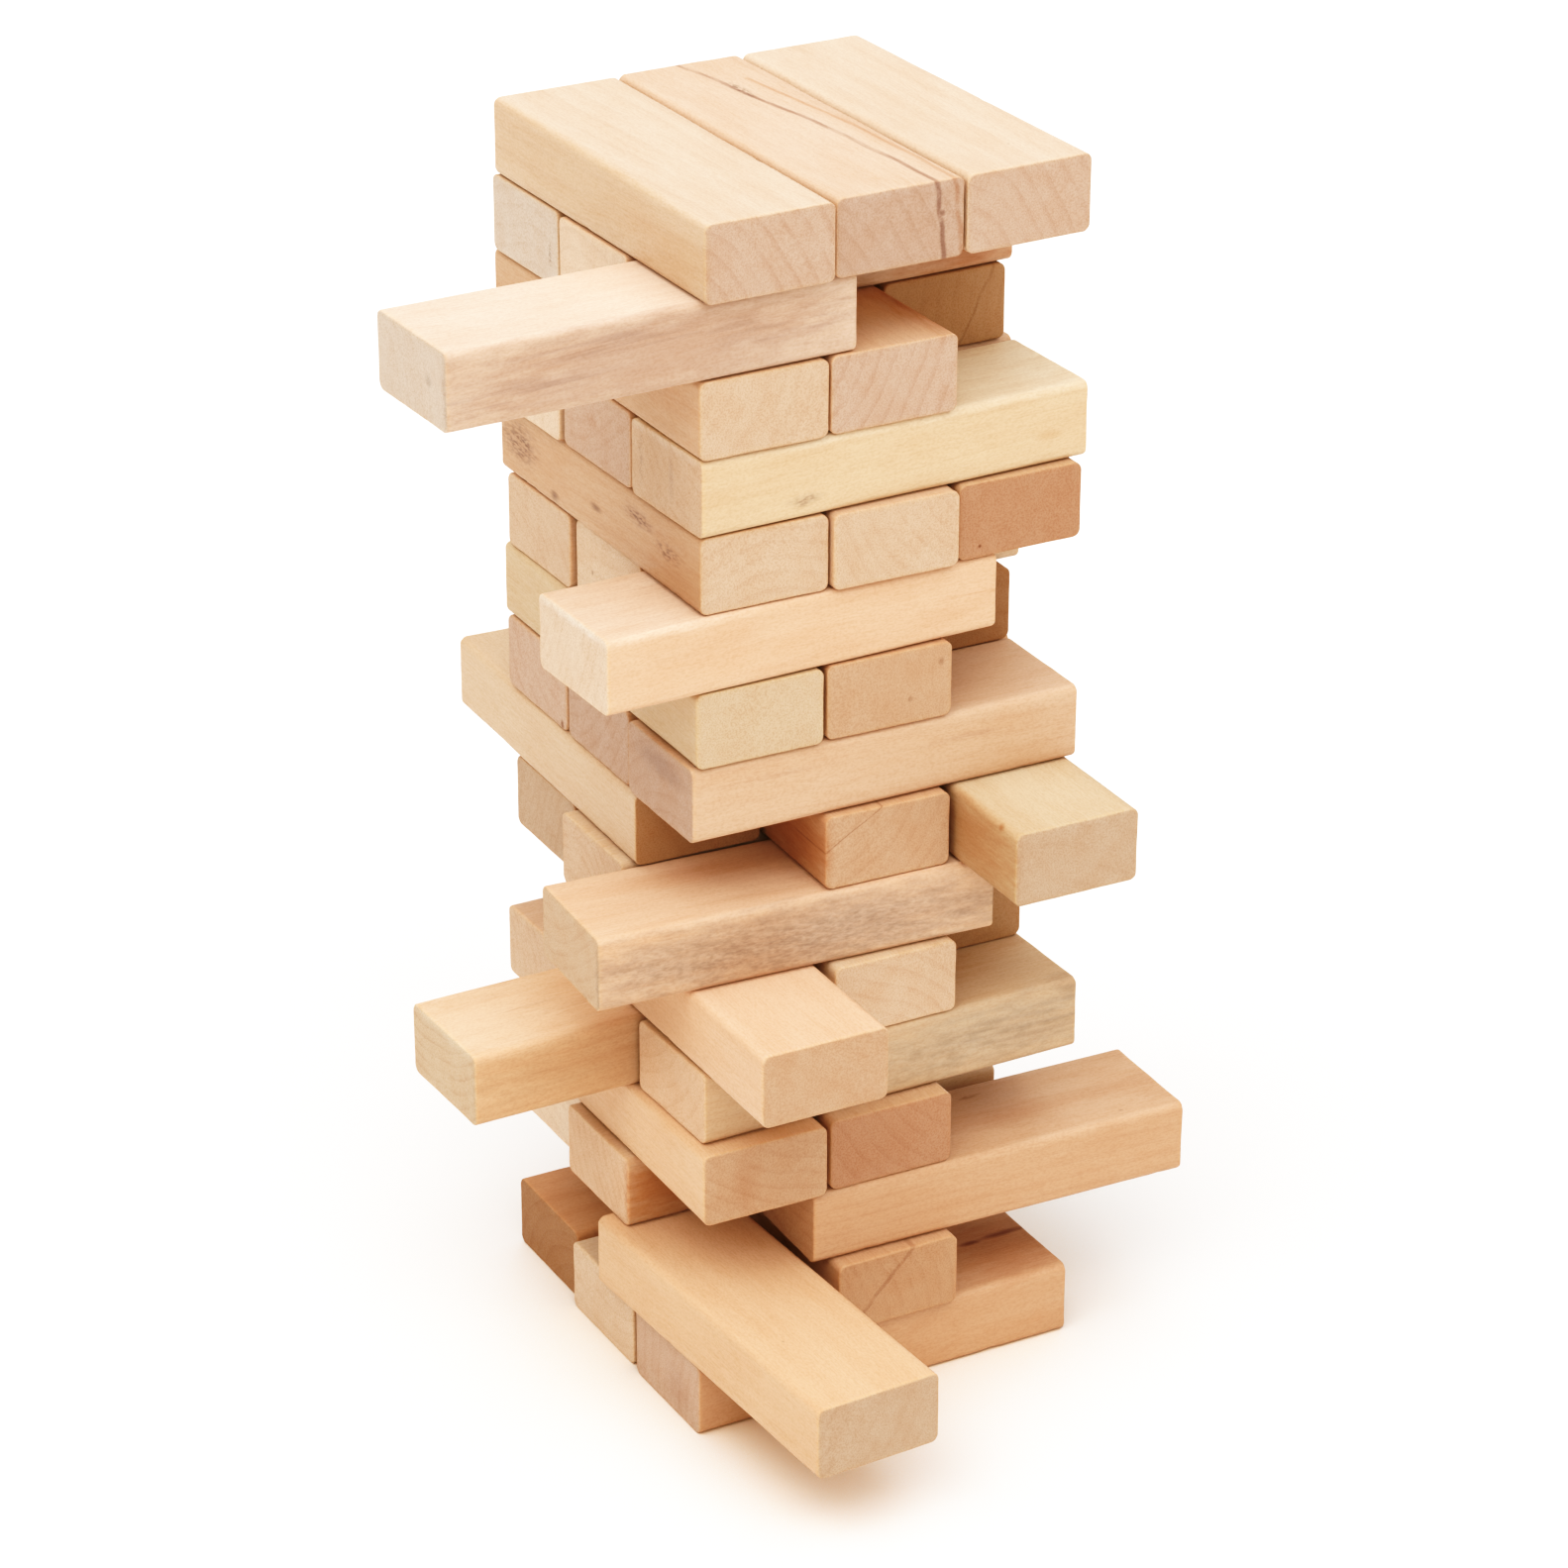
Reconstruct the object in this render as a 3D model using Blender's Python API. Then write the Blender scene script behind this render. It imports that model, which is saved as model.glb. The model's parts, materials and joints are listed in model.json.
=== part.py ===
"""Giant tumbling tower: a lawn game of loose wooden blocks, in play.

Sixteen levels of blocks, three to a level. The blocks of one level lie side by side, and each
level is turned a quarter turn on the one below. Some blocks have been pulled or pushed part way
out, and two have been taken away. Every block is a separate solid.

Lengths are in metres, +Z is up, and the origin is under the middle block of the bottom level.
"""

import math
from typing import NamedTuple

import bmesh
import bpy
from mathutils import Matrix, Vector

MM = 0.001

# One block, cut from planed hardwood strip.
BLOCK_LENGTH = 190 * MM
BLOCK_WIDTH = 61 * MM
BLOCK_THICKNESS = 34.7 * MM
EDGE_RADIUS = 3.5 * MM  # the four long edges are rounded over
EDGE_SEGMENTS = 3
END_CHAMFER = 0.8 * MM  # the sawn ends only have their arris taken off
SHARP_ANGLE = math.radians(35)  # edges that bend more than this are shaded as corners

# The air between a level and the one it rests on.
REST_GAP = 0.3 * MM
LEVEL_STEP = BLOCK_THICKNESS + REST_GAP
QUARTER_TURN = 90.0

# The base colour of each tone of planed wood, and the roughness they share.
WOOD_TONES = {
    "cream": (0.80, 0.66, 0.46),
    "lemon": (0.80, 0.66, 0.40),
    "beige": (0.72, 0.58, 0.42),
    "grey_beige": (0.62, 0.52, 0.43),
    "peach": (0.78, 0.58, 0.40),
    "pink": (0.74, 0.52, 0.40),
    "mauve": (0.62, 0.46, 0.40),
    "tan": (0.66, 0.46, 0.28),
    "olive": (0.60, 0.50, 0.32),
    "gold": (0.76, 0.54, 0.26),
    "terracotta": (0.62, 0.38, 0.22),
    "brown": (0.50, 0.32, 0.22),
}
WOOD_ROUGHNESS = 0.55

# The places of a level's three blocks, from -Y to +Y or from -X to +X.
ALONG_X_PLACES = ("front", "middle", "back")
ALONG_Y_PLACES = ("left", "middle", "right")


class Block(NamedTuple):
    """One block: its tone, and how far it is from its place in the level.

    It has slid along its length and sits aside by so many mm, and is turned by so many degrees.
    """

    tone: str
    slid: float = 0
    aside: float = 0
    turn: float = 0


class Level(NamedTuple):
    """One level: how far it is from the tower's axis, and the blocks it holds.

    The shifts and the gap between neighbouring blocks are in mm and the turn is in degrees.
    A block that has been taken away is None.
    """

    shift_x: float
    shift_y: float
    turn: float
    gap: float
    blocks: tuple


# The levels from the ground up. Odd levels lie along X and even levels along Y.
LEVELS = (
    Level(
        shift_x=0,
        shift_y=0,
        turn=0,
        gap=3.4,
        blocks=(
            Block("mauve", slid=-1, aside=-1.2),
            Block("beige"),
            Block("brown", slid=4),
        ),
    ),
    Level(
        shift_x=2,
        shift_y=-2.5,
        turn=0.5,
        gap=2.4,
        blocks=(
            Block("cream", slid=-100, aside=-6.5, turn=2.3),
            Block("tan", slid=-3),
            None,
        ),
    ),
    Level(
        shift_x=6,
        shift_y=4,
        turn=-0.2,
        gap=2.4,
        blocks=(
            Block("tan", slid=53, aside=-6, turn=-1.3),
            Block("beige", slid=-5.5),
            Block("grey_beige", slid=3),
        ),
    ),
    Level(
        shift_x=3.5,
        shift_y=2,
        turn=-0.6,
        gap=3,
        blocks=(
            Block("pink", slid=-2.5),
            Block("terracotta"),
            None,
        ),
    ),
    Level(
        shift_x=6.5,
        shift_y=10,
        turn=0.7,
        gap=3.4,
        blocks=(
            Block("olive"),
            Block("gold", slid=-80, aside=-1, turn=0.5),
            Block("peach"),
        ),
    ),
    Level(
        shift_x=9,
        shift_y=13,
        turn=0,
        gap=2,
        blocks=(
            Block("peach", slid=-58, aside=-2.5, turn=-0.4),
            Block("cream", slid=-2),
            Block("brown", slid=47, aside=-0.6),
        ),
    ),
    Level(
        shift_x=9.5,
        shift_y=18,
        turn=-0.7,
        gap=2.6,
        blocks=(
            Block("olive", slid=-43, aside=-2, turn=-2.3),
            Block("beige", slid=-2.5),
            Block("tan", slid=5),
        ),
    ),
    Level(
        shift_x=10,
        shift_y=17.5,
        turn=-1.4,
        gap=1.8,
        blocks=(
            Block("cream", slid=58, turn=-0.3),
            Block("tan"),
            Block("olive", slid=-51, aside=1, turn=0.8),
        ),
    ),
    Level(
        shift_x=11,
        shift_y=20,
        turn=-0.6,
        gap=2.4,
        blocks=(
            Block("pink", slid=-1, turn=0.4),
            Block("tan", slid=1, turn=-0.2),
            Block("mauve", slid=1.5, turn=-0.2),
        ),
    ),
    Level(
        shift_x=10.5,
        shift_y=19.5,
        turn=-0.7,
        gap=2,
        blocks=(
            Block("olive"),
            Block("tan", slid=1),
            Block("brown", slid=60),
        ),
    ),
    Level(
        shift_x=14.5,
        shift_y=19.5,
        turn=0.5,
        gap=2.2,
        blocks=(
            Block("peach", slid=-48, turn=1),
            Block("beige", slid=2),
            Block("pink"),
        ),
    ),
    Level(
        shift_x=11,
        shift_y=20.5,
        turn=0.2,
        gap=1.2,
        blocks=(
            Block("pink", slid=1.5),
            Block("beige", slid=-1.5, turn=-0.2),
            Block("terracotta", slid=1.5),
        ),
    ),
    Level(
        shift_x=11,
        shift_y=21.5,
        turn=1.4,
        gap=1.9,
        blocks=(
            Block("lemon", turn=0.4),
            Block("pink", slid=1),
            Block("cream"),
        ),
    ),
    Level(
        shift_x=9.5,
        shift_y=20.5,
        turn=0.5,
        gap=1.4,
        blocks=(
            Block("cream"),
            Block("tan", slid=1),
            Block("brown", slid=66, turn=0.2),
        ),
    ),
    Level(
        shift_x=10.5,
        shift_y=20.5,
        turn=1.4,
        gap=2,
        blocks=(
            Block("grey_beige", slid=-116, aside=-0.6, turn=0.4),
            Block("pink", turn=0.2),
            Block("grey_beige", slid=1, turn=-0.2),
        ),
    ),
    Level(
        shift_x=8,
        shift_y=17,
        turn=1.1,
        gap=1,
        blocks=(
            Block("cream", slid=-1.5, turn=-0.2),
            Block("pink", slid=0.5),
            Block("cream", slid=0.5, turn=0.3),
        ),
    ),
)

COLLECTION_NAME = "giant_tumbling_tower"


def clear_scene():
    """Empties the file that Blender starts with."""
    for scene_object in list(bpy.data.objects):
        bpy.data.objects.remove(scene_object, do_unlink=True)


def wood_material(name, tone):
    """A planed wooden surface of the named tone."""
    material = bpy.data.materials.new(name)
    material.use_nodes = True
    shader = material.node_tree.nodes["Principled BSDF"]
    shader.inputs["Base Color"].default_value = (*WOOD_TONES[tone], 1.0)
    shader.inputs["Roughness"].default_value = WOOD_ROUGHNESS
    shader.inputs["Metallic"].default_value = 0.0
    return material


def runs_along_x(edge):
    """True for an edge of a box that lies along the block's length."""
    start, end = (vertex.co for vertex in edge.verts)
    return abs(end.x - start.x) > BLOCK_WIDTH


def faces_along_x(face):
    """True for a sawn end of the block."""
    return abs(face.normal.x) > abs(face.normal.y) + abs(face.normal.z)


def is_end_rim(edge):
    """True for an edge between an end face and a side of the block."""
    first, second = edge.link_faces
    return faces_along_x(first) != faces_along_x(second)


def block_mesh():
    """The mesh that all the blocks share, with its length along X and its centre at the origin."""
    bm = bmesh.new()
    bmesh.ops.create_cube(bm, size=1.0)
    bmesh.ops.scale(bm, vec=(BLOCK_LENGTH, BLOCK_WIDTH, BLOCK_THICKNESS), verts=bm.verts)
    bmesh.ops.bevel(
        bm,
        geom=[edge for edge in bm.edges if runs_along_x(edge)],
        offset=EDGE_RADIUS,
        segments=EDGE_SEGMENTS,
        profile=0.5,
        affect="EDGES",
    )
    bm.normal_update()
    bmesh.ops.bevel(
        bm,
        geom=[edge for edge in bm.edges if is_end_rim(edge)],
        offset=END_CHAMFER,
        segments=1,
        affect="EDGES",
    )
    mesh = bpy.data.meshes.new("block")
    bm.to_mesh(mesh)
    bm.free()
    mesh.shade_smooth()
    mesh.set_sharp_from_angle(angle=SHARP_ANGLE)
    mesh.materials.append(None)
    return mesh


def add_block(collection, mesh, name, tone, frame):
    """One block of the tower, with a material of its own on the shared mesh."""
    block = bpy.data.objects.new(name, mesh)
    collection.objects.link(block)
    block.material_slots[0].link = "OBJECT"
    block.material_slots[0].material = wood_material(name + "_wood", tone)
    block.location = frame.to_translation()
    block.rotation_euler = frame.to_euler()


def level_frame(number, level):
    """The frame of a level: its X axis runs along the length of the level's blocks."""
    height = (number - 1) * LEVEL_STEP + BLOCK_THICKNESS / 2
    place = Matrix.Translation(Vector((level.shift_x * MM, level.shift_y * MM, height)))
    base_turn = QUARTER_TURN if number % 2 == 0 else 0.0
    return place @ Matrix.Rotation(math.radians(base_turn + level.turn), 4, "Z")


def add_level(collection, mesh, number, level):
    """The blocks of one level."""
    along_x = number % 2 == 1
    places = ALONG_X_PLACES if along_x else ALONG_Y_PLACES
    # Along a level that has the quarter turn, the frame's own Y axis points to -X.
    sideways = 1 if along_x else -1
    frame = level_frame(number, level)
    slot_step = BLOCK_WIDTH + level.gap * MM
    for slot, (place, block) in enumerate(zip(places, level.blocks)):
        if block is None:
            continue
        across = (slot - 1) * slot_step + block.aside * MM
        in_level = Matrix.Translation(Vector((block.slid * MM, sideways * across, 0.0)))
        turned = Matrix.Rotation(math.radians(block.turn), 4, "Z")
        name = f"level_{number:02d}_{place}"
        add_block(collection, mesh, name, block.tone, frame @ in_level @ turned)


def build():
    clear_scene()
    collection = bpy.data.collections.new(COLLECTION_NAME)
    bpy.context.scene.collection.children.link(collection)
    mesh = block_mesh()
    for number, level in enumerate(LEVELS, start=1):
        add_level(collection, mesh, number, level)


build()
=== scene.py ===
"""The looks of the giant tumbling tower: forty-six planed wooden blocks, and the studio round them.

Every block is modelled again in finer detail over its CAD block. The wood is worked out in
each block's own axes: x along the block, y across it and z up, in mm, from its middle.
"""

import json
import math
from typing import NamedTuple

import bpy
import numpy as np
from mathutils import Matrix, Vector

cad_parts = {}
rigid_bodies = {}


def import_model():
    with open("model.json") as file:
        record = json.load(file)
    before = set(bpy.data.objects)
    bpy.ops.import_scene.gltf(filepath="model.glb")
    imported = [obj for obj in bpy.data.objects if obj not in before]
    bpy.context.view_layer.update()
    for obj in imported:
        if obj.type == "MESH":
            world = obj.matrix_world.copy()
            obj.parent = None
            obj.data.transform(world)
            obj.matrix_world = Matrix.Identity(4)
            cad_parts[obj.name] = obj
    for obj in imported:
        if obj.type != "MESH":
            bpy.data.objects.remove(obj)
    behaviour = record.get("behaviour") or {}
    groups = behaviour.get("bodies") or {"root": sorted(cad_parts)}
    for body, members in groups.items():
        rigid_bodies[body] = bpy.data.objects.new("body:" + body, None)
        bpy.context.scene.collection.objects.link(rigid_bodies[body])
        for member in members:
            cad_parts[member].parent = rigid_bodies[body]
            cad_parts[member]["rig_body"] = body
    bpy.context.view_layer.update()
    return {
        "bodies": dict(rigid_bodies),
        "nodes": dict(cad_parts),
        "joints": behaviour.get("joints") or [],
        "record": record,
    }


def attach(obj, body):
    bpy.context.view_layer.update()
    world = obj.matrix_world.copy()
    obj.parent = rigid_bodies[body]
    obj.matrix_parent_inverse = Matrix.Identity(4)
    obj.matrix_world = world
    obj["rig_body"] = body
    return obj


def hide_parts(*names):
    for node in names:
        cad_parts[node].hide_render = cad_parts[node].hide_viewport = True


MM = 0.001

# A block, in mm.
LENGTH = 190.0
WIDTH = 61.0
THICKNESS = 34.7
EDGE_RADIUS = 3.5
RIM_RADIUS = 0.8
RIM_REACH = 2.2
UNEVENNESS = 0.05
# How much the radii of the edges and rims vary, as shares, and the slope of an askew sawn end.
EDGE_WEAR = 0.09
RIM_RAGGEDNESS = 0.35
SAW_TILT = 0.004
# How many mm one wave takes, of the wear along an edge and the hollows along and across a face,
# and how much slower and faster its parts go.
EDGE_WAVE = 120.0
FACE_WAVE = 150.0
ACROSS_WAVE = 45.0
WAVE_SPEEDS = (0.6, 2.4)
# The least and most dents in a block, and how wide and deep one is.
DENTS = (5, 8)
DENT_REACH = (1.5, 3.5)
DENT_DEPTH = (0.15, 0.45)

# How finely a block is modelled.
CORNER_STEPS = 6
WIDTH_STEPS = 12
THICKNESS_STEPS = 6
STATION_SPACING = 2.5
# How far over the rim each ring of points has turned, of a quarter turn, and how sawn it is.
RIM_TURNS = ((0.0, 0.0), (0.4, 0.35), (0.75, 0.8), (1.0, 1.0))
# How far in from the rim the sawn face starts, in mm, and the rings of points that close it in.
FACE_INSET = 0.5
FACE_RINGS = (0.9, 0.6, 0.3)

# The log that a block was cut from, in mm and degrees.
LOG_LENGTH = 900.0
PITH_DEPTH = (45.0, 100.0)
CUT_ASKEW = 1.8
RING_SPACING = (5.5, 8.5)
RING_WAVER = 0.25
# How far the grain swells from side to side, and how many mm one swell takes each way.
SWELL = 10.0
SWELL_SIZE = (150.0, 40.0, 40.0)

# The camera that sees the tower as it stands.
CAMERA_AIM = Vector((-0.0098, -0.0149, 0.2675))
CAMERA_AZIMUTH = -28.62
CAMERA_ELEVATION = 25.52
CAMERA_ROLL = 0.21
CAMERA_DISTANCE = 2.258
CAMERA_LENS = 117.4

# The lamps: name, azimuth, elevation and power. An azimuth of 0 is on the side of -Y, and a
# positive one turns from there towards +X.
LAMPS = (("left", -75.0, 50.0, 1.05), ("front", -5.0, 42.0, 1.30))
LAMP_ANGLE = 50.0

# The room: the light from each height in it, which is the sine of an elevation.
CEILING_LIGHT = 2.0
ROOM = ((0.12, 1.00), (0.20, 0.36), (0.64, 0.36), (0.80, CEILING_LIGHT))

# The floor: how far it goes each way in metres, its colour in the open and in the shade, how
# far away a thing can shade it, and how open it is where the shade's colour ends and starts.
FLOOR_REACH = 15.0
FLOOR_COLOUR = (0.88, 0.865, 0.845)
FLOOR_SHADE = (0.85, 0.66, 0.47)
FLOOR_ROUGHNESS = 0.9
FLOOR_GLOSS = 0.1
SHADE_REACH = 0.16
SHADE_SPAN = (0.15, 0.65)

# The film: the light that shows as full white, and how some lesser lights show.
FILM_WHITE = 1.25
FILM_CURVE = (
    (0.05, 0.027),
    (0.10, 0.07),
    (0.20, 0.172),
    (0.40, 0.405),
    (0.60, 0.62),
    (0.80, 0.79),
    (1.00, 0.92),
    (1.15, 0.98),
)
# Its green and blue layers lose a little more in the shade, which turns shade warm.
FILM_GREEN = ((0.08, 0.070), (0.18, 0.170), (0.40, 0.398))
FILM_BLUE = ((0.05, 0.034), (0.12, 0.100), (0.30, 0.290), (0.50, 0.498))

# The colours of the wood: first planed faces, then sawn ends.
TONES = {
    "ivory": (0.75, 0.58, 0.46),
    "cream": (0.69, 0.53, 0.40),
    "straw": (0.65, 0.48, 0.34),
    "sand": (0.60, 0.45, 0.30),
    "lemon": (0.70, 0.53, 0.36),
    "peach": (0.74, 0.51, 0.36),
    "apricot": (0.70, 0.47, 0.31),
    "pink": (0.65, 0.45, 0.32),
    "rose": (0.58, 0.38, 0.25),
    "tan": (0.59, 0.37, 0.24),
    "olive": (0.60, 0.43, 0.29),
    "russet": (0.54, 0.29, 0.16),
    # Partly painted shade: a darker brown than the wood's own, for blocks that sit back in the shade.
    "brown": (0.47, 0.28, 0.16),
    "pale_end": (0.70, 0.54, 0.41),
    "cream_end": (0.65, 0.48, 0.35),
    "peach_end": (0.66, 0.45, 0.31),
    "grey_end": (0.60, 0.49, 0.40),
    "beige_end": (0.59, 0.42, 0.30),
    "sand_end": (0.57, 0.42, 0.29),
    "pink_end": (0.53, 0.37, 0.28),
    "fawn_end": (0.55, 0.39, 0.27),
    "olive_end": (0.48, 0.34, 0.24),
    "mauve_end": (0.48, 0.33, 0.25),
    "tan_end": (0.51, 0.33, 0.22),
    "russet_end": (0.48, 0.29, 0.18),
    "red_end": (0.43, 0.24, 0.15),
    # Partly painted shade: the next two ends are made darker than the wood's own, for ends in deep
    # shade.
    "umber_end": (0.42, 0.25, 0.14),
    "brown_end": (0.35, 0.19, 0.10),
}

# What a patch or vein leaves of the colour under it. The tint above one lightens it, as painted
# light on tops; rust, honey and ash also serve as painted shade where sides and tops lie in shade.
TINTS = {
    "grey": (0.66, 0.64, 0.68),
    "smoke": (0.42, 0.36, 0.34),
    "dusk": (0.76, 0.68, 0.66),
    "umber": (0.42, 0.26, 0.19),
    # Partly painted shade: this tint also darkens sides and tops that lie in shade.
    "rust_and_shade": (0.74, 0.50, 0.36),
    # Partly painted shade: this tint also darkens sides and tops that lie in shade.
    "honey_and_shade": (0.92, 0.74, 0.50),
    # Painted light: a tint above one, which lightens the tops it is put on.
    "painted_light": (1.14, 1.28, 1.42),
    # Partly painted shade: this tint also darkens a side that lies in shade.
    "ash_and_shade": (0.68, 0.67, 0.66),
    "slate": (0.80, 0.87, 0.94),
    "plum": (0.45, 0.33, 0.31),
}

# Painted shade: what is left of the colour of the long sides, which are made darker and warmer than
# the tops and ends.
PAINTED_SIDE_SHADE = (0.94, 0.90, 0.86)

# How many mm the pieces of a broken patch measure each way.
BROKEN = {
    "streaks": (60.0, 2.0, 2.0),
    "mottle": (9.0, 3.0, 3.0),
    "flecks": (3.6, 1.2, 1.2),
}


class Figure(NamedTuple):
    """One layer of the wood's figure: the mm that its swells take each way and their detail,
    the part of the noise that turns dark and how dark, and what that leaves of the colour."""

    swells: tuple
    dark: tuple
    left: tuple


BANDS = Figure(((420.0, 7.0, 7.0), 2.0), (0.38, 0.66, 0.0, 0.28), (0.93, 0.86, 0.81))
CLOUDS = Figure(((42.0, 15.0, 15.0), 3.0), (0.36, 0.70, 0.0, 0.50), (0.95, 0.88, 0.83))
GRAIN = Figure(((60.0, 1.3, 1.3), 2.0), (0.40, 0.70, 0.0, 0.14), (0.89, 0.81, 0.74))
FIBRES = Figure(((9.0, 0.8, 0.8), 2.0), (0.40, 0.70, 0.0, 0.20), (0.87, 0.78, 0.70))
PORES = Figure(((1.6, 0.75, 0.75), 1.0), (0.40, 0.70, 0.0, 0.50), (0.80, 0.71, 0.64))

# The rings: the part of each that turns dark, how clouds fade it, how dark it is on planed and
# on sawn wood, and what it leaves of the colour. Pores too show more on sawn wood.
RING_LINE = (0.55, 0.98)
RING_FADING = (0.3, 0.6, 0.35, 1.0)
RING_STRENGTHS = (0.19, 0.34)
RING_STAIN = (0.72, 0.58, 0.50)
PORE_STRENGTHS = (0.7, 1.1)

# The rims of the sawn ends: how the fibres there are rubbed, and what that does to the colour,
# which is lightened partly as wear and partly as a painted highlight along the rim.
RIM_RUB_AND_HIGHLIGHT = (0.3, 0.6, 0.3, 0.8)
RIM_RUB_AND_HIGHLIGHT_TINT = (1.04, 1.0, 0.92)

# A vein: how far it wanders from its path in mm, and the swells and detail of that; how many mm
# its ends fade over; the part of its thickness that is full; and how the wood breaks it up.
VEIN_WANDER = 5.0
VEIN_SWELLS = ((50.0, 30.0, 16.0), 1.0)
VEIN_FADE = 8.0
VEIN_CORE = 0.2
VEIN_BREAKS = (30.0, 5.0, 5.0)
VEIN_BREAKING = (0.3, 0.55, 0.35, 1.0)

# A patch: how ragged it is, and the swells and detail of that; where its edge starts and ends,
# as a share of its reach; and the part of the noise that its pieces take up.
PATCH_RAGGEDNESS = 0.8
PATCH_SWELLS = ((14.0, 3.5, 3.5), 3.0)
PATCH_EDGE = (0.55, 1.45)
PATCH_PIECES = (0.40, 0.66)

# The surface: how rough its fibres are, how much rougher a sawn end is, how high the fibres
# and rings stand and how deep the pores are as shares of the bump's height, and its gloss.
FIBRE_ROUGHNESS = (0.3, 0.7, 0.46, 0.62)
SAWN_ROUGHNESS = 0.2
FIBRE_HEIGHT = 0.5
RING_HEIGHT = 0.12
PORE_DEPTH = 0.6
BUMP_HEIGHT = 0.25 * MM
BUMP_STRENGTH = 0.4
GLOSS = 0.35


class Vein(NamedTuple):
    """A thin sheet of darker wood that shows as a line on every face it meets.

    It crosses the middle of the block at y = across, leans by so many mm for each mm of length,
    bows by so many mm at the block's ends, and tilts by so many mm for each mm of height.
    """

    stain: str
    strength: float
    across: float
    lean: float = 0.0
    bow: float = 0.0
    tilt: float = 0.0
    thickness: float = 1.0
    start: float = -100.0
    end: float = 100.0


class Patch(NamedTuple):
    """A soft patch round a place in the block, whole or broken into streaks or flecks."""

    stain: str
    strength: float
    place: tuple
    reach: tuple
    broken: str = ""


class Look(NamedTuple):
    """The wood of one block.

    It has a tone on its faces and one on its sawn ends. The pith is where the middle of the
    tree was, across and above the middle of the block, and rings is how strong its rings are.
    """

    face: str
    end: str
    pith: tuple = ()
    rings: float = 0.5
    patches_and_veins: tuple = ()


# Some patches below are painted light and painted shade rather than marks in the wood: the lightening
# on tops is painted light, and some darker patches are painted shade on sides and tops that lie in
# shade.
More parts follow.
